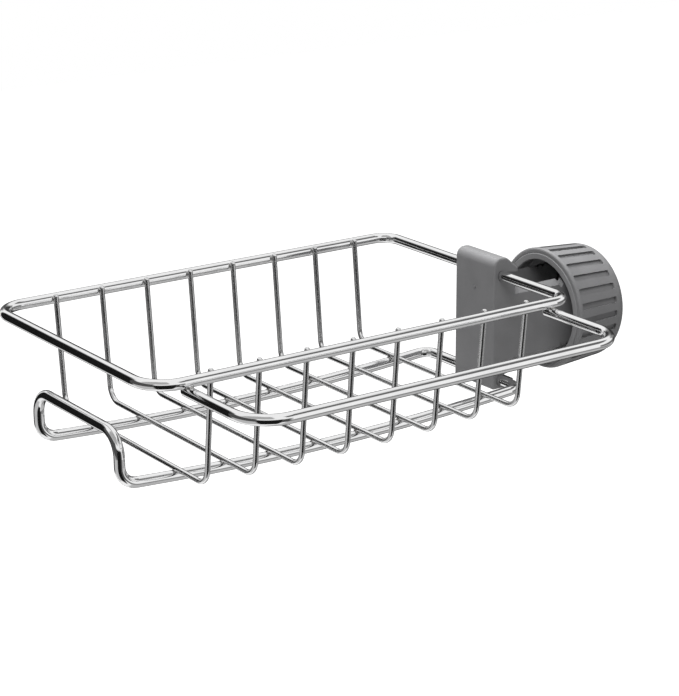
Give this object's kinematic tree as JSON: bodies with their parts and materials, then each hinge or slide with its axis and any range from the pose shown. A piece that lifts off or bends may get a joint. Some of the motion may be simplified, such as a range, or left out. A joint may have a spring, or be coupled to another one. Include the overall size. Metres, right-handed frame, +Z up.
{
  "type": "sponge holder",
  "caption": "Open basket of bent and welded steel wire for sponges, with a towel rail, that clamps to an upright pipe by a plastic bracket and a hollow screw knob.",
  "frame": {"origin": "on the axis of the clamped pipe, half way up between the rim wire and the base wire in the bracket", "axes": "+X along the clamp's screw, away from the basket; +Z up along the pipe; the towel rail is towards -Y"},
  "size_m": [0.3043, 0.2027, 0.0702],
  "materials": {
    "steel_wire": "polished stainless",
    "bracket_plastic": "moulded, fine satin",
    "knob_plastic": "moulded, fine satin",
    "washer_plastic": "moulded, fine satin",
    "pad_rubber": "matt"
  },
  "bodies": {
    "holder": {"rim_frame": "steel_wire", "base_frame": "steel_wire", "towel_rail": "steel_wire", "cross_wire_1": "steel_wire", "cross_wire_2": "steel_wire", "cross_wire_3": "steel_wire", "cross_wire_4": "steel_wire", "cross_wire_5": "steel_wire", "cross_wire_6": "steel_wire", "cross_wire_7": "steel_wire", "cross_wire_8": "steel_wire", "clamp_bracket": "bracket_plastic", "saddle_pad": "pad_rubber"},
    "washer": {"grip_washer": "washer_plastic"},
    "nut": {"clamp_nut": "knob_plastic"}
  },
  "joints": [
    {"name": "nut_travel", "type": "slide", "parent": "holder", "child": "washer", "axis": [1, 0, 0], "range_m": [-0.006, 0.009]},
    {"name": "nut_turn", "type": "hinge", "parent": "washer", "child": "nut", "pos_m": [0.02885, 0, 0], "axis": [1, 0, 0], "range_deg": [-540, 810]}
  ],
  "couplings": [
    {"joint": "nut_travel", "follows": "nut_turn", "m_per_rad": 0.00063662}
  ]
}
